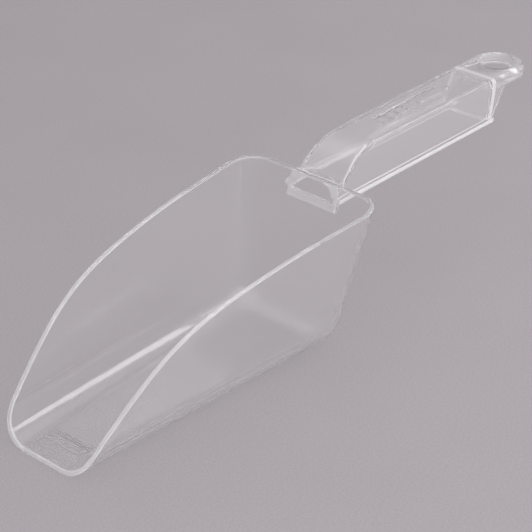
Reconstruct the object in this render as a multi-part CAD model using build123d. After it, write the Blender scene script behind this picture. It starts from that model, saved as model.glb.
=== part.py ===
"""Clear polycarbonate ice scoop: a flat-bottomed bowl with a channel handle bonded to its back wall.

Millimetres. The origin is the middle of the flat base, on the surface that the scoop stands on.
+X runs towards the mouth, +Z is up, and the scoop is the same on both sides of the XZ plane.
"""

import os
from math import atan2, cos, radians, sin, sqrt, tan

from build123d import *

os.makedirs("parts", exist_ok=True)

# Bowl
BOWL_LENGTH = 176.0          # flat floor, from the foot of the back wall to the lip
RIM_HEIGHT = 76.0            # rim at the back wall
REAR_HALF_WIDTH = 37.2       # at floor level, before the floor radius
MOUTH_HALF_WIDTH = 28.0      # at floor level, before the floor radius
SIDE_LEAN = 6.7              # degrees that the side walls lean outwards
BACK_LEAN = 14.0             # degrees that the back wall leans backwards
WALL = 2.6
FLOOR_RADIUS = 17.5          # outside radius between floor and walls
FLOOR_OUTLINES = 7           # plan outlines lofted through that radius, besides the floor's own
CORNER_RADIUS = 15.7         # outside radius of the two rear corners at the rim
CORNER_TAPER = 0.6           # how fast that radius shrinks as the floor radius draws the outline in
SWEEP_START = -58.0          # x where the nearly level rim starts to sweep down
SWEEP_THROUGH = [(-9.5, 66.6), (35.3, 52.6), (70.5, 25.0)]  # x and z that the sweep passes through
SWEEP_END = (0.35, -1)       # its direction where it reaches the lip
RIM_FALL = 0.067             # slope of the rim behind that

# Mouth
LIP_THICKNESS = 1.2
RAMP_LENGTH = 11.5           # scraping ramp that thins the floor towards the lip
RAMP_HALF_WIDTH = 12.5
GROOVES = 7                  # fine grooves across the floor behind the ramp
GROOVE_PITCH = 1.4
GROOVE_WIDTH = 0.7
GROOVE_DEPTH = 0.3
GROOVE_HALF_LENGTH = 11.5

# Handle
HANDLE_TOP = 89.0
HANDLE_BOTTOM = 66.4
HANDLE_WALL = 2.4
END_WALL = 3.2
TOP_SKIN = 2.3
TOP_HALF_WIDTH_FRONT = 12.9
TOP_HALF_WIDTH_REAR = 15.0
BOTTOM_HALF_WIDTH = 16.2
SIDE_BOW = 0.7               # 0.5 would be a straight side
TOP_ROUND = 2.8
INNER_ROUND = 2.0
FLANGE_REACH = 2.3
FLANGE_THICKNESS = 2.4
LEDGE_LENGTH = 4.0
RISE_LENGTH = 15.5
RISE_FOOT_ROUND = 4.0
RISE_CREST_ROUND = 32.0
GRIP_END = 149.0             # from the foot of the back wall to the foot of the end wall
END_LEAN = 15.0              # degrees that the end wall leans backwards

# Shallow panel on top of the grip, with a row of plain raised pads
PANEL_START = 64.5           # from the foot of the back wall
PANEL_LENGTH = 64.5
PANEL_HALF_WIDTH = 6.0
PANEL_DEPTH = 0.4
PADS = 4
PAD_PITCH = 7.5
PAD_LENGTH = 5.5
PAD_HALF_WIDTH = 3.0
BAR_LENGTH = 22.0
BAR_HALF_WIDTH = 1.6
PAD_ROUND = 1.2
PIP_RADIUS = 1.3             # moulding gate mark near the hang tab
PIP_PLACE = 143.0
PIP_HEIGHT = 0.4

# Root frame, where the handle meets the back wall
ROOT_BOTTOM = 61.1
ROOT_BAR = 3.8
ROOT_POST = 3.2
ROOT_DEPTH = 3.0
ROOT_EDGE = 1.2
LEDGE_SKIN = 2.3
ARCH_ROUND = 8.5
ROOT_SWEEP = 5.0

# Hang tab
TAB_THICKNESS = 5.8
TAB_RADIUS = 15.6
TAB_CENTRE = 175.0           # hang hole, from the foot of the back wall
HANG_HOLE_RADIUS = 10.0
GUSSET_FOOT = 1.5
GUSSET_RUN = 12.5
GUSSET_FOOT_ROUND = 6.0
GUSSET_TOP_ROUND = 4.5

# Places that follow from the sizes above
FOOT_X = -BOWL_LENGTH / 2    # foot of the back wall, were it not rounded
LIP_X = BOWL_LENGTH / 2
ABOVE = 12.0                 # how far cutting and trimming solids reach past what they cut
SAME_PLACE = 0.01
UPPER_FACE = 0.3             # a face that points up by at least this is an upper face of the handle
SIDE_FACE = 0.7              # and one that points sideways by at least this is a side
SIDE_SLOPE = tan(radians(SIDE_LEAN))
BACK_SLOPE = tan(radians(BACK_LEAN))
SWEEP_RUN = SWEEP_START - (FOOT_X - BACK_SLOPE * RIM_HEIGHT)
ROOT_INSIDE = BOTTOM_HALF_WIDTH - ROOT_POST
CEILING = HANDLE_TOP - TOP_SKIN
TAB_X = FOOT_X - TAB_CENTRE
GRIP_END_X = FOOT_X - GRIP_END


def back_x(z):
    """Outside of the back wall at height z."""
    return FOOT_X - BACK_SLOPE * z


def side_y(x, z):
    """Outside half width of the bowl at x and height z, before the floor radius."""
    along = (x - FOOT_X) / BOWL_LENGTH
    return REAR_HALF_WIDTH + (MOUTH_HALF_WIDTH - REAR_HALF_WIDTH) * along + SIDE_SLOPE * z


def draw_in(lean, radius, height):
    """How far the floor radius draws in a wall that leans by this angle, at a height above the floor."""
    if height >= radius * (1 - sin(radians(lean))):
        return 0.0
    centre = radius * (tan(radians(lean)) - 1 / cos(radians(lean)))
    return height * tan(radians(lean)) - centre - sqrt(radius**2 - (radius - height) ** 2)


def bowl_outline(z, wall):
    """Plan outline of the bowl at height z, this far inside its outer skin."""
    radius = FLOOR_RADIUS - wall
    back_in = draw_in(BACK_LEAN, radius, z - wall)
    side_in = draw_in(SIDE_LEAN, radius, z - wall)
    rear = back_x(z) + wall / cos(radians(BACK_LEAN)) + back_in
    front = LIP_X + ABOVE
    inset = wall / cos(radians(SIDE_LEAN)) + side_in
    rear_y = side_y(rear, z) - inset
    front_y = side_y(front, z) - inset
    points = [(rear, -rear_y), (front, -front_y), (front, front_y), (rear, rear_y)]
    outline = Polygon(*points, align=None)
    corners = outline.vertices().sort_by(Axis.X)[:2]
    return Pos(0, 0, z) * fillet(corners, CORNER_RADIUS - wall - CORNER_TAPER * side_in)


def bowl_form(wall):
    """Solid form of the bowl, this far inside its outer skin, open-ended at the mouth and above the rim."""
    radius = FLOOR_RADIUS - wall
    tangent = 90 - SIDE_LEAN
    turns = [radians(tangent * i / FLOOR_OUTLINES) for i in range(FLOOR_OUTLINES + 1)]
    heights = [wall + radius * (1 - cos(turn)) for turn in turns]
    lower = loft([bowl_outline(z, wall) for z in heights])
    ends = [bowl_outline(heights[-1], wall), bowl_outline(RIM_HEIGHT + ABOVE, wall)]
    return lower + loft(ends, ruled=True)


def rim_side_view():
    """Side view of what the rim leaves: below a line that is nearly level, then sweeps down to the lip."""
    behind = back_x(RIM_HEIGHT) - ABOVE
    level = Line(
        (behind, RIM_HEIGHT + RIM_FALL * ABOVE),
        (SWEEP_START, RIM_HEIGHT - RIM_FALL * SWEEP_RUN),
    )
    sweep = Spline(
        [level @ 1, *SWEEP_THROUGH, (LIP_X, LIP_THICKNESS)],
        tangents=[level % 1, SWEEP_END],
    )
    closing = Polyline(sweep @ 1, (LIP_X, -ABOVE), (behind, -ABOVE), level @ 0)
    return make_face(Plane.XZ * (level + sweep + closing))


def mouth_ramp():
    """Wedge cut from the floor, so that it thins towards the lip."""
    beyond = LIP_X + ABOVE
    points = [
        (LIP_X - RAMP_LENGTH, WALL),
        (beyond, WALL),
        (beyond, LIP_THICKNESS),
        (LIP_X, LIP_THICKNESS),
    ]
    wedge = Polygon(*points, align=None)
    return extrude(Plane.XZ * wedge, amount=RAMP_HALF_WIDTH, both=True)


def floor_grooves():
    """Fine grooves across the floor, parallel to the lip, in the strip behind the ramp."""
    groove = Box(GROOVE_WIDTH, 2 * GROOVE_HALF_LENGTH, 2 * GROOVE_DEPTH)
    last = LIP_X - RAMP_LENGTH - GROOVE_PITCH
    return [Pos(last - GROOVE_PITCH * i, 0, WALL) * groove for i in range(GROOVES)]


def make_bowl():
    below_rim = extrude(rim_side_view(), amount=REAR_HALF_WIDTH + RIM_HEIGHT, both=True)
    shell = (bowl_form(0) - bowl_form(WALL)) & below_rim
    return shell - mouth_ramp() - floor_grooves()


def on_side_view(points, rounds):
    """Face in the XZ plane through these points, with the numbered corners rounded."""
    face = Polygon(*points, align=None)
    for (x, z), radius in rounds:
        corner = face.vertices().sort_by_distance((x, z, 0))[0]
        face = fillet(corner, radius)
    return Plane.XZ * face


def across(face):
    """The side view carried across the whole width of the handle."""
    return extrude(face, amount=2 * BOTTOM_HALF_WIDTH, both=True)


def handle_section(x, top_half_width, inset, top):
    """Cross-section of the grip at x: gently bowed sides, this far inside the outer skin."""
    low = ROOT_BOTTOM - ABOVE
    bottom_y = BOTTOM_HALF_WIDTH - inset
    top_y = top_half_width - inset
    waist_y = top_y + SIDE_BOW * (bottom_y - top_y)
    waist = (HANDLE_BOTTOM + top) / 2
    near = Polyline((bottom_y, low), (bottom_y, HANDLE_BOTTOM)) + ThreePointArc(
        (bottom_y, HANDLE_BOTTOM), (waist_y, waist), (top_y, top)
    )
    far = mirror(near, Plane.YZ)
    lids = Line((-top_y, top), (top_y, top)) + Line((-bottom_y, low), (bottom_y, low))
    section = make_face(near + far + lids)
    if inset:
        section = fillet(section.vertices().sort_by(Axis.Y)[-2:], INNER_ROUND)
    return Plane(origin=(x, 0, 0), x_dir=(0, 1, 0), z_dir=(1, 0, 0)) * section


def handle_widths(inset, top):
    """The grip's width along its whole length; it grows a little towards the hang tab."""
    front = handle_section(FOOT_X, TOP_HALF_WIDTH_FRONT, inset, top)
    rear = handle_section(TAB_X - 2 * TAB_RADIUS, TOP_HALF_WIDTH_REAR, inset, top)
    return loft([front, rear], ruled=True)


def edges_between(first, second):
    """The edges that two groups of faces share."""
    places = [edge @ 0.5 for face in second for edge in face.edges()]
    edges = [edge for face in first for edge in face.edges()]
    return [edge for edge in edges if any((edge @ 0.5 - place).length < SAME_PLACE for place in places)]


def handle_form():
    """Ledge, sloping front and flat top of the handle, with its upper edges rounded from end to end."""
    foot = (back_x(RIM_HEIGHT) - LEDGE_LENGTH, RIM_HEIGHT)
    crest = (foot[0] - RISE_LENGTH, HANDLE_TOP)
    low = ROOT_BOTTOM - ABOVE
    far = TAB_X - 2 * TAB_RADIUS
    points = [
        (back_x(low), low),
        (back_x(RIM_HEIGHT), RIM_HEIGHT),
        foot,
        crest,
        (far, HANDLE_TOP),
        (far, low),
    ]
    rounds = [(foot, RISE_FOOT_ROUND), (crest, RISE_CREST_ROUND)]
    form = (across(on_side_view(points, rounds)) & handle_widths(0, HANDLE_TOP)).solid()
    upper = [face for face in form.faces() if face.normal_at().Z > UPPER_FACE]
    sides = [face for face in form.faces() if abs(face.normal_at().Y) > SIDE_FACE]
    return fillet(edges_between(upper, sides), TOP_ROUND)


def rise_line(depth):
    """The line of the handle's sloping front, this far below its surface: a point and a direction."""
    slope = atan2(HANDLE_TOP - RIM_HEIGHT, RISE_LENGTH)
    foot = Vector(back_x(RIM_HEIGHT) - LEDGE_LENGTH, RIM_HEIGHT)
    foot -= Vector(sin(slope), cos(slope)) * depth
    back = Vector(-cos(slope), sin(slope))
    return foot, back


def end_x(z):
    """Outside of the end wall of the grip at height z."""
    return GRIP_END_X - tan(radians(END_LEAN)) * (z - HANDLE_BOTTOM)


def handle_skin():
    """The handle's outer form, solid: root, rise, grip and hang tab in one."""
    tip = TAB_X - TAB_RADIUS
    above = HANDLE_TOP + ABOVE
    tab_floor = HANDLE_TOP - TAB_THICKNESS
    gusset_foot = (GRIP_END_X - GUSSET_FOOT, HANDLE_BOTTOM)
    gusset_top = (gusset_foot[0] - GUSSET_RUN, tab_floor)
    root_x = back_x(ROOT_BOTTOM) - ROOT_EDGE
    root_corner = (root_x, HANDLE_BOTTOM)
    points = [
        (back_x(ROOT_BOTTOM), ROOT_BOTTOM),
        (back_x(ROOT_BOTTOM), above),
        (tip, above),
        (tip, tab_floor),
        gusset_top,
        gusset_foot,
        root_corner,
        (root_x, ROOT_BOTTOM),
    ]
    rounds = [
        (gusset_top, GUSSET_TOP_ROUND),
        (gusset_foot, GUSSET_FOOT_ROUND),
        (root_corner, ROOT_SWEEP),
    ]
    underside = across(on_side_view(points, rounds))
    standing = (Align.CENTER, Align.CENTER, Align.MIN)
    round_end = Pos(TAB_X, 0) * Cylinder(TAB_RADIUS, HANDLE_TOP, align=standing)
    round_end = fillet(round_end.edges().sort_by(Axis.Z)[-1], TOP_ROUND)
    ahead = (Align.MIN, Align.CENTER, Align.MIN)
    straight = Pos(TAB_X, 0) * Box(-TAB_X, 3 * BOTTOM_HALF_WIDTH, above, align=ahead)
    return handle_form() & underside & (round_end + straight)


def channel():
    """The hollow of the grip, open below, behind a sloping front and in front of the end wall."""
    foot, back = rise_line(TOP_SKIN)
    down = ROOT_BOTTOM - ABOVE
    low_foot = foot - back * ((foot.Y - down) / back.Y)
    crest = foot + back * ((CEILING - foot.Y) / back.Y)
    points = [
        (low_foot.X, down),
        (crest.X, CEILING),
        (end_x(CEILING) + END_WALL, CEILING),
        (end_x(down) + END_WALL, down),
    ]
    rounds = [((crest.X, CEILING), RISE_CREST_ROUND - TOP_SKIN)]
    return across(on_side_view(points, rounds)) & handle_widths(HANDLE_WALL, CEILING)


def root_pocket():
    """The arched hollow under the ledge, from the back wall into the channel."""
    low = ROOT_BOTTOM + ROOT_BAR
    high = RIM_HEIGHT - LEDGE_SKIN
    arch = Polygon(
        (-ROOT_INSIDE, low), (ROOT_INSIDE, low), (ROOT_INSIDE, high), (-ROOT_INSIDE, high), align=None
    )
    arch = fillet(arch.vertices().sort_by(Axis.Y)[-2:], ARCH_ROUND)
    reach = LEDGE_LENGTH + RISE_LENGTH / 2
    start = Plane(origin=(back_x(RIM_HEIGHT) - reach, 0, 0), x_dir=(0, 1, 0), z_dir=(1, 0, 0))
    return extrude(start * arch, reach + ABOVE)


def tail_pocket():
    """The hollow under the hang tab, between its two gussets."""
    floor = HANDLE_TOP - TAB_THICKNESS
    down = ROOT_BOTTOM - ABOVE
    points = [
        (end_x(floor), floor),
        (TAB_X - 2 * TAB_RADIUS, floor),
        (TAB_X - 2 * TAB_RADIUS, down),
        (end_x(down), down),
    ]
    return across(on_side_view(points, [])) & handle_widths(HANDLE_WALL, HANDLE_TOP)


def flanges():
    """The two outward lips along the bottom of the grip, before the channel is cut out of them."""
    high = HANDLE_BOTTOM + FLANGE_THICKNESS
    points = [
        (back_x(HANDLE_BOTTOM), HANDLE_BOTTOM),
        (back_x(high), high),
        (GRIP_END_X, high),
        (GRIP_END_X, HANDLE_BOTTOM),
    ]
    width = BOTTOM_HALF_WIDTH + FLANGE_REACH
    return extrude(on_side_view(points, []), amount=width, both=True)


def root_bar():
    """The bar that closes the bottom of the root against the back wall."""
    high = ROOT_BOTTOM + ROOT_BAR
    points = [
        (back_x(ROOT_BOTTOM), ROOT_BOTTOM),
        (back_x(high), high),
        (back_x(high) - ROOT_DEPTH, high),
        (back_x(ROOT_BOTTOM) - ROOT_DEPTH, ROOT_BOTTOM),
    ]
    return extrude(on_side_view(points, []), amount=BOTTOM_HALF_WIDTH, both=True)


def behind_back_wall():
    """Everything on the outer side of the back wall's plane."""
    low, high = ROOT_BOTTOM - 2 * ABOVE, HANDLE_TOP + ABOVE
    far = TAB_X - 2 * TAB_RADIUS
    points = [(back_x(low), low), (back_x(high), high), (far, high), (far, low)]
    return across(on_side_view(points, []))


def rounded_pad(place, length, half_width, rounding):
    """A plain raised pad in the top panel, its middle at this x."""
    outline = RectangleRounded(length, 2 * half_width, rounding)
    return Pos(place, 0, HANDLE_TOP - PANEL_DEPTH) * extrude(outline, PANEL_DEPTH)


def top_panel():
    """What is cut from the top of the grip: a shallow panel, less its raised pads and bar."""
    middle = FOOT_X - PANEL_START - PANEL_LENGTH / 2
    front = FOOT_X - PANEL_START - PAD_PITCH
    panel = rounded_pad(middle, PANEL_LENGTH, PANEL_HALF_WIDTH, PANEL_HALF_WIDTH - SAME_PLACE)
    places = [front - PAD_PITCH * i for i in range(PADS)]
    pads = [rounded_pad(place, PAD_LENGTH, PAD_HALF_WIDTH, PAD_ROUND) for place in places]
    bar_x = front - PAD_PITCH * PADS - BAR_LENGTH / 2
    bar = rounded_pad(bar_x, BAR_LENGTH, BAR_HALF_WIDTH, PAD_ROUND)
    return panel - pads - bar


def make_handle():
    solid = handle_skin() + flanges()
    walls = solid - channel() - root_pocket() - tail_pocket() + root_bar()
    through = Cylinder(HANG_HOLE_RADIUS, 2 * TAB_THICKNESS)
    hang_hole = Pos(TAB_X, 0, HANDLE_TOP - TAB_THICKNESS / 2) * through
    pip = Pos(FOOT_X - PIP_PLACE, 0, HANDLE_TOP) * Cylinder(PIP_RADIUS, 2 * PIP_HEIGHT)
    return ((walls - hang_hole - top_panel()) & behind_back_wall()) + pip


if __name__ == "__main__":
    for name, part in (("bowl", make_bowl()), ("handle", make_handle())):
        print(name, "volume", round(part.volume), "valid", part.is_valid, part.bounding_box())
        export_step(part, f"parts/{name}.step")
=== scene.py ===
"""Looks of the clear ice scoop: two clear mouldings in a light tent, on a pale grey sweep."""

from math import cos, radians, sin, tan

import bmesh
import bpy
from mathutils import Matrix, Vector


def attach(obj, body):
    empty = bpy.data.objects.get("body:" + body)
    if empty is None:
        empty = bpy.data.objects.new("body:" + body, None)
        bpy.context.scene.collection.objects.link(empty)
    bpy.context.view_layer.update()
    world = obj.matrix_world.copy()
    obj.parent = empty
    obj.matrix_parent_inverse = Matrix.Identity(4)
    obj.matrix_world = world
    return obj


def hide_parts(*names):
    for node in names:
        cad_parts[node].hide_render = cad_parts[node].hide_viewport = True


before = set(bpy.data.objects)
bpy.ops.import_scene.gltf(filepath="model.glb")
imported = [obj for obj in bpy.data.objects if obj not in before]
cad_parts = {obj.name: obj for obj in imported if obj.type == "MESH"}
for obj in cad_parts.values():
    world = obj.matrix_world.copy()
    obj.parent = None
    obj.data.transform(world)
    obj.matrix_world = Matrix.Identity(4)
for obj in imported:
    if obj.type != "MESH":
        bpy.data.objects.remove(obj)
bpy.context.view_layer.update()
scene = bpy.context.scene

MM = 0.001

# Camera: degrees from +X towards +Y, degrees above the floor, metres in the frame
AZIMUTH = 41.55
ELEVATION = 29.81
ROLL = 0.29
DISTANCE = 0.983
AIM = Vector((-0.0891, -0.0184, 0.0231))
SENSOR = 36.0
LENS = 126.6

# Studio
SWEEP_SIZE = 6.0
SWEEP_GAP = 0.2 * MM          # the scoop stands on the paper's highest fibres
SWEEP_COLOUR = (0.495, 0.471, 0.486)
MOTTLE = 14                   # soft patches of paper to a metre
FIBRES = 900
TENT_LOW = (0.68, (0.36, 0.341, 0.353, 1))     # height of a direction, and the light from it
TENT_HIGH = (0.94, (1.27, 1.226, 1.26, 1))
LIGHT_BOUNCES = 32

# Shapes of the mouldings
WELD = 0.001 * MM
RIM_ROUND = 0.6 * MM
EDGE_ROUND = 0.35 * MM
ROUND_STEPS = 3
SMOOTH_ANGLE = radians(25)    # faces that meet at less than this are one smooth surface
ROUND_ANGLE = radians(40)     # edges sharper than this are rounded
PANEL_BAND = 1.2 * MM         # the shallow panel's own edges, this near the handle's top, stay crisp
BOND_LINE = 0.08 * MM         # between the two mouldings, where their faces are bonded
BACK_FOOT = -88 * MM          # the outside of the bowl's back wall, at floor level
BACK_SLOPE = tan(radians(14))  # and how it leans
END_FOOT = (-237 * MM, 66.4 * MM)  # x and z of the foot of the grip's end wall, outside
END_SLOPE = tan(radians(15))  # how it leans
END_THICKNESS = 3.2 * MM
TAB_FRONT = -250 * MM         # the hang tab is behind this
FLANGE_BAND = 17.5 * MM       # the flanges' outer faces lie further out than this
FLOOR_RADIUS = (2.7 * MM, 15.3 * MM)  # heights between which the bowl's floor radius runs
REAR_RIMS = (-52 * MM, -70 * MM)  # behind each of these the rim's milky, painted white highlight is a step fainter
LEVEL = 0.995                 # a face that points up or down by at least this is part of the bowl's floor, made clearer than the walls to paint shade on it
UPWARD = 0.9                  # a face that points up by more than this may be part of the rim
NEAR_TOP = 0.9                # if it lies higher than this share of the bowl's height
LENGTHWAYS = 0.5              # a face that points along the handle by less is one of its sides or its top

# Clear plastic. A milky share of each surface scatters light; the rest of it passes through
PLASTIC_IOR = 1.585
PASSED_LIGHT = 0.945          # share of shadow light that gets through each surface
POLISHED = (0.06, 0.12)       # roughness, from the smoothest spots to the most handled
WORN = (0.12, 0.2)
CLEAR_TINT = (0.99, 0.985, 0.99)
WALL_TINT = (0.975, 0.97, 0.978)
# Tint of the milky rim and edge materials, whose haze paints a white highlight
HIGHLIGHT_TINT = (0.97, 0.965, 0.972)
CLOUDS = 45                   # patches of tint to a metre
SCUFFS = 900
FLOW = 22                     # waves to a metre left by the moulding flow
WALL, RIM, MID_RIM, REAR_RIM, FLOOR = range(5)  # materials of the bowl: the rim ones are milky to paint the rim's white highlight, the floor one is clearer to paint shade
GRIP, EDGE, TAB = range(3)    # and of the handle; EDGE is milky, a painted highlight on its edges and bands


def direction(azimuth, elevation):
    """Unit vector at an azimuth from +X towards +Y and an elevation above the floor, in degrees."""
    a, e = radians(azimuth), radians(elevation)
    return Vector((cos(e) * cos(a), cos(e) * sin(a), sin(e)))


def looking(place, back, roll=0.0):
    """Matrix of a camera or lamp at a place, that looks against the vector back."""
    right = Vector((0, 0, 1)).cross(back).normalized()
    up = back.cross(right)
    c, s = cos(radians(roll)), sin(radians(roll))
    turn = Matrix((right * c + up * s, up * c - right * s, back)).transposed().to_4x4()
    return Matrix.Translation(place) @ turn


def add_camera():
    camera = bpy.data.objects.new("camera", bpy.data.cameras.new("camera"))
    scene.collection.objects.link(camera)
    back = direction(AZIMUTH, ELEVATION)
    camera.matrix_world = looking(AIM + back * DISTANCE, back, ROLL)
    camera.data.sensor_width = SENSOR
    camera.data.lens = LENS
    camera.data.clip_start = 0.05
    camera.data.clip_end = 30.0
    scene.camera = camera


def add_softbox(name, azimuth, elevation, distance, size, power, mirrored=True):
    """An area lamp that faces the scoop; surfaces mirror it only if so asked."""
    lamp = bpy.data.lights.new(name, "AREA")
    lamp.shape = "RECTANGLE"
    lamp.size, lamp.size_y = size
    lamp.energy = power
    lamp_object = bpy.data.objects.new(name, lamp)
    lamp_object.visible_glossy = mirrored
    lamp_object.visible_transmission = mirrored
    scene.collection.objects.link(lamp_object)
    back = direction(azimuth, elevation)
    lamp_object.matrix_world = looking(AIM + back * distance, back)


def add_tent():
    """World light: grey like the sweep near the horizon, bright overhead."""
    world = bpy.data.worlds.new("tent")
    scene.world = world
    world.use_nodes = True
    tree = world.node_tree
    place = tree.nodes.new("ShaderNodeTexCoord")
    split = tree.nodes.new("ShaderNodeSeparateXYZ")
    ramp = tree.nodes.new("ShaderNodeValToRGB")
    tree.links.new(place.outputs["Generated"], split.inputs[0])
    tree.links.new(split.outputs["Z"], ramp.inputs[0])
    tree.links.new(ramp.outputs[0], tree.nodes["Background"].inputs["Color"])
    ramp.color_ramp.interpolation = "EASE"
    low, high = ramp.color_ramp.elements
    low.position, low.color = TENT_LOW
    high.position, high.color = TENT_HIGH


def noise(tree, scale, detail):
    """Noise in the object's own metres: scale is how many grains there are to a metre."""
    place = tree.nodes.new("ShaderNodeTexCoord")
    grain = tree.nodes.new("ShaderNodeTexNoise")
    grain.inputs["Scale"].default_value = scale
    grain.inputs["Detail"].default_value = detail
    tree.links.new(place.outputs["Object"], grain.inputs["Vector"])
    return grain.outputs[0]


def between(tree, value, low, high):
    """The value, stretched to run from low to high."""
    stretch = tree.nodes.new("ShaderNodeMapRange")
    stretch.inputs["From Min"].default_value = 0.3
    stretch.inputs["From Max"].default_value = 0.7
    stretch.inputs["To Min"].default_value = low
    stretch.inputs["To Max"].default_value = high
    tree.links.new(value, stretch.inputs["Value"])
    return stretch.outputs[0]


def tints(tree, value, first, second):
    """A colour that drifts from the first to the second as the value does."""
    mix = tree.nodes.new("ShaderNodeMix")
    mix.data_type = "RGBA"
    mix.inputs["A"].default_value = (*first, 1)
    mix.inputs["B"].default_value = (*second, 1)
    tree.links.new(value, mix.inputs["Factor"])
    return mix.outputs["Result"]


def bumps(tree, height, distance, strength, below=None):
    bump = tree.nodes.new("ShaderNodeBump")
    bump.inputs["Distance"].default_value = distance
    bump.inputs["Strength"].default_value = strength
    tree.links.new(height, bump.inputs["Height"])
    if below is not None:
        tree.links.new(below, bump.inputs["Normal"])
    return bump.outputs[0]


def clear_plastic(name, clearness, roughness, dark):
    """Moulded polycarbonate: a milky haze, slight on the clear surfaces and heavy where it paints a white
    highlight, flow waviness and fine handling marks.

    Shadows, and light scattered by other surfaces, pass straight through.
    """
    material = bpy.data.materials.new(name)
    material.use_nodes = True
    tree = material.node_tree
    shader = tree.nodes["Principled BSDF"]
    shader.inputs["Transmission Weight"].default_value = clearness
    shader.inputs["IOR"].default_value = PLASTIC_IOR
    cloud = noise(tree, CLOUDS, 3)
    scuffs = noise(tree, SCUFFS, 5)
    flow = noise(tree, FLOW, 1)
    tree.links.new(tints(tree, cloud, CLEAR_TINT, dark), shader.inputs["Base Color"])
    tree.links.new(between(tree, scuffs, *roughness), shader.inputs["Roughness"])
    waviness = bumps(tree, flow, 0.4 * MM, 0.25)
    tree.links.new(bumps(tree, scuffs, 0.01 * MM, 0.1, waviness), shader.inputs["Normal"])
    path = tree.nodes.new("ShaderNodeLightPath")
    clear = tree.nodes.new("ShaderNodeBsdfTransparent")
    clear.inputs["Color"].default_value = (PASSED_LIGHT, PASSED_LIGHT, PASSED_LIGHT, 1)
    shown = shader.outputs[0]
    for ray in ("Is Shadow Ray", "Is Diffuse Ray"):
        mix = tree.nodes.new("ShaderNodeMixShader")
        tree.links.new(path.outputs[ray], mix.inputs[0])
        tree.links.new(shown, mix.inputs[1])
        tree.links.new(clear.outputs[0], mix.inputs[2])
        shown = mix.outputs[0]
    tree.links.new(shown, tree.nodes["Material Output"].inputs["Surface"])
    return material


def add_sweep():
    """Pale grey paper with a soft mottle and fine fibres."""
    bpy.ops.mesh.primitive_plane_add(size=SWEEP_SIZE, location=(0, 0, -SWEEP_GAP))
    sweep = bpy.context.object
    sweep.name = "sweep"
    material = bpy.data.materials.new("sweep_paper")
    material.use_nodes = True
    tree = material.node_tree
    shader = tree.nodes["Principled BSDF"]
    darker = tuple(0.97 * channel for channel in SWEEP_COLOUR)
    mottle = tints(tree, between(tree, noise(tree, MOTTLE, 6), 0, 1), SWEEP_COLOUR, darker)
    fibres = tints(tree, between(tree, noise(tree, FIBRES, 3), 0, 1), (1, 1, 1), (0.87, 0.87, 0.87))
    both = tree.nodes.new("ShaderNodeMix")
    both.data_type = "RGBA"
    both.blend_type = "MULTIPLY"
    both.inputs["Factor"].default_value = 1.0
    tree.links.new(mottle, both.inputs["A"])
    tree.links.new(fibres, both.inputs["B"])
    tree.links.new(both.outputs["Result"], shader.inputs["Base Color"])
    shader.inputs["Roughness"].default_value = 0.9
    shader.inputs["Specular IOR Level"].default_value = 0.1
    sweep.data.materials.append(material)


def smooth_patches(mesh):
    """Faces of a bmesh in groups that meet at gentle angles."""
    left = set(mesh.faces)
    patches = []
    while left:
        todo = [left.pop()]
        patch = set(todo)
        while todo:
            for edge in todo.pop().edges:
                if edge.is_manifold and edge.calc_face_angle() < SMOOTH_ANGLE:
                    fresh = {face for face in edge.link_faces if face in left}
                    left -= fresh
                    patch |= fresh
                    todo.extend(fresh)
        patches.append(patch)
    return patches


def border(patch):
    """Edges between a patch of faces and the rest."""
    edges = {edge for face in patch for edge in face.edges}
    return {edge for edge in edges if any(face not in patch for face in edge.link_faces)}


def round_edges(mesh, edges, radius, material):
    """Round these edges, and give the new faces this material."""
    mesh.edges.index_update()
    bmesh.ops.bevel(
        mesh,
        geom=sorted(edges, key=lambda edge: edge.index),
        offset=radius,
        offset_type="OFFSET",
        segments=ROUND_STEPS,
        profile=0.5,
        affect="EDGES",
        material=material,
        clamp_overlap=False,
    )


def is_flat(place, node):
    """False in the hang tab and the bowl's floor radius, where uneven facets would upset the normals."""
    if node == "handle":
        return place.x > TAB_FRONT
    return not FLOOR_RADIUS[0] < place.z < FLOOR_RADIUS[1]


def detailed(node, name, materials, shape):
    """Add a copy of a CAD node, its mesh reworked by the function shape, in that node's place."""
    mesh = bmesh.new()
    mesh.from_mesh(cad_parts[node].data)
    bmesh.ops.remove_doubles(mesh, verts=mesh.verts, dist=WELD)
    shape(mesh)
    data = bpy.data.meshes.new(name)
    mesh.to_mesh(data)
    mesh.free()
    piece = bpy.data.objects.new(name, data)
    scene.collection.objects.link(piece)
    for material in materials:
        data.materials.append(material)
    data.shade_smooth()
    data.set_sharp_from_angle(angle=ROUND_ANGLE)
    flat = piece.vertex_groups.new(name="flat")
    flat.add([vertex.index for vertex in data.vertices if is_flat(vertex.co, node)], 1.0, "REPLACE")
    normals = piece.modifiers.new("flat faces stay flat", "WEIGHTED_NORMAL")
    normals.keep_sharp = True
    normals.mode = "FACE_AREA" if node == "bowl" else "FACE_AREA_WITH_ANGLE"
    normals.vertex_group = flat.name
    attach(piece, "root")
    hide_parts(node)


def is_rim(face, top):
    """True for a face of the nearly level stretch of the rim, behind the sweep."""
    return face.normal.z > UPWARD and face.calc_center_median().z > NEAR_TOP * top


def shape_bowl(mesh):
    """Round both edges of the rim; give the rim milky materials that paint its white highlight, a step
    fainter towards the back, and the floor a clearer material that paints shade on it.
    """
    top = max(vertex.co.z for vertex in mesh.verts)
    patches = smooth_patches(mesh)
    rim = next(patch for patch in patches if any(is_rim(face, top) for face in patch))
    for face in mesh.faces:
        on_floor = abs(face.normal.z) > LEVEL
        face.material_index = RIM if face in rim else FLOOR if on_floor else WALL
    round_edges(mesh, border(rim), RIM_ROUND, RIM)
    for face in mesh.faces:
        if face.material_index == RIM:
            place = face.calc_center_median()
            face.material_index = (RIM, MID_RIM, REAR_RIM)[sum(place.x < start for start in REAR_RIMS)]


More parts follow.
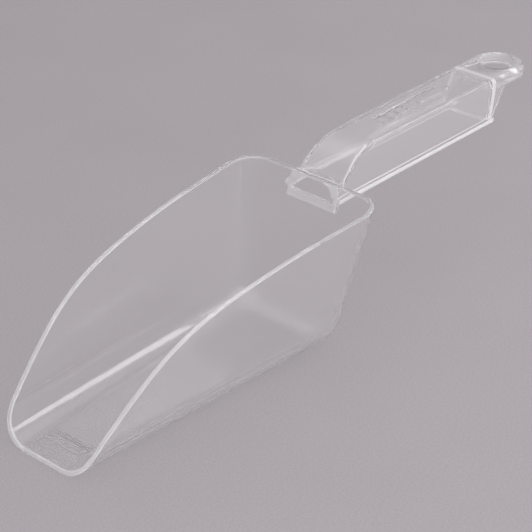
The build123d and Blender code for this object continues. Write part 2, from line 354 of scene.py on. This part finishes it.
def is_bonded(place):
    """True on the sloping plane where the handle's root meets the outside of the bowl's back wall."""
    return abs(place.x - (BACK_FOOT - BACK_SLOPE * place.z)) < BOND_LINE


def end_depth(place):
    """How far a place is ahead of the outside of the grip's end wall."""
    return place.x - END_FOOT[0] + END_SLOPE * (place.z - END_FOOT[1])


def handle_material(face):
    """Which of the handle's materials a face of it gets."""
    place = face.calc_center_median()
    on_flange = min(abs(vertex.co.y) for vertex in face.verts) > FLANGE_BAND
    over_end_wall = 0 < end_depth(place) < END_THICKNESS and abs(face.normal.x) < LENGTHWAYS
    bonded = all(is_bonded(vertex.co) for vertex in face.verts)
    # flanges, the end wall's band and the bonded faces get the milky edge material: a painted highlight
    if on_flange or over_end_wall or bonded:
        return EDGE
    return TAB if place.x < TAB_FRONT else GRIP


def shape_handle(mesh):
    """Mark the bands that get the milky edge material, a painted highlight, and the tab; part the bonded
    faces; round all but the panel's edges, the rounds painted with that highlight too.
    """
    for depth in (0, END_THICKNESS):
        bmesh.ops.bisect_plane(
            mesh,
            geom=[*mesh.verts, *mesh.edges, *mesh.faces],
            dist=WELD,
            plane_co=(END_FOOT[0] + depth, 0, END_FOOT[1]),
            plane_no=(1, 0, END_SLOPE),
        )
    for face in mesh.faces:
        face.material_index = handle_material(face)
    for vertex in mesh.verts:
        if is_bonded(vertex.co):
            vertex.co.x -= BOND_LINE
    panel = max(vertex.co.z for vertex in mesh.verts) - PANEL_BAND
    sharp = [
        edge
        for edge in mesh.edges
        if edge.is_manifold
        and edge.calc_face_angle() > ROUND_ANGLE
        and min(vertex.co.z for vertex in edge.verts) < panel
    ]
    # the new rounds get the milky edge material: a painted highlight along each rounded edge
    round_edges(mesh, sharp, EDGE_ROUND, EDGE)
    for face in mesh.faces:
        if face.material_index == EDGE and face.calc_center_median().x < TAB_FRONT:
            face.material_index = TAB


scene.view_settings.view_transform = "Standard"
for kind in ("max", "transmission", "glossy", "diffuse"):
    setattr(scene.cycles, f"{kind}_bounces", LIGHT_BOUNCES)

add_camera()
add_sweep()
add_tent()
add_softbox("right_softbox", 159, 46, 1.5, (1.1, 0.26), 2.7)
add_softbox("side_fill", 95, 12, 1.4, (1.0, 0.7), 10.5, False)
add_softbox("front_fill", 60, 62, 0.8, (0.3, 0.3), 0.1)
add_softbox("mouth_fill", 8, 8, 1.4, (0.9, 0.5), 4.0, False)

bowl_materials = [
    clear_plastic("clear_bowl", 0.955, POLISHED, WALL_TINT),
    # The rim's materials are milky, and less so towards the back: a painted white highlight along the rim
    # that fades rearwards
    clear_plastic("painted_rim_highlight", 0.52, WORN, HIGHLIGHT_TINT),
    clear_plastic("painted_rim_highlight_mid", 0.6, WORN, HIGHLIGHT_TINT),
    clear_plastic("painted_rim_highlight_rear", 0.72, WORN, HIGHLIGHT_TINT),
    # Almost no haze on the floor, so it reads darker than the walls: painted shade
    clear_plastic("clearer_floor_painted_shade", 0.99, POLISHED, WALL_TINT),
]
handle_materials = [
    clear_plastic("clear_handle", 0.92, POLISHED, WALL_TINT),
    # milky: paints the highlight on the handle's edges, flanges, end wall band and bonded faces
    clear_plastic("painted_edge_highlight", 0.45, WORN, HIGHLIGHT_TINT),
    clear_plastic("clear_tab", 0.84, WORN, WALL_TINT),
]
detailed("bowl", "bowl_moulding", bowl_materials, shape_bowl)
detailed("handle", "handle_moulding", handle_materials, shape_handle)
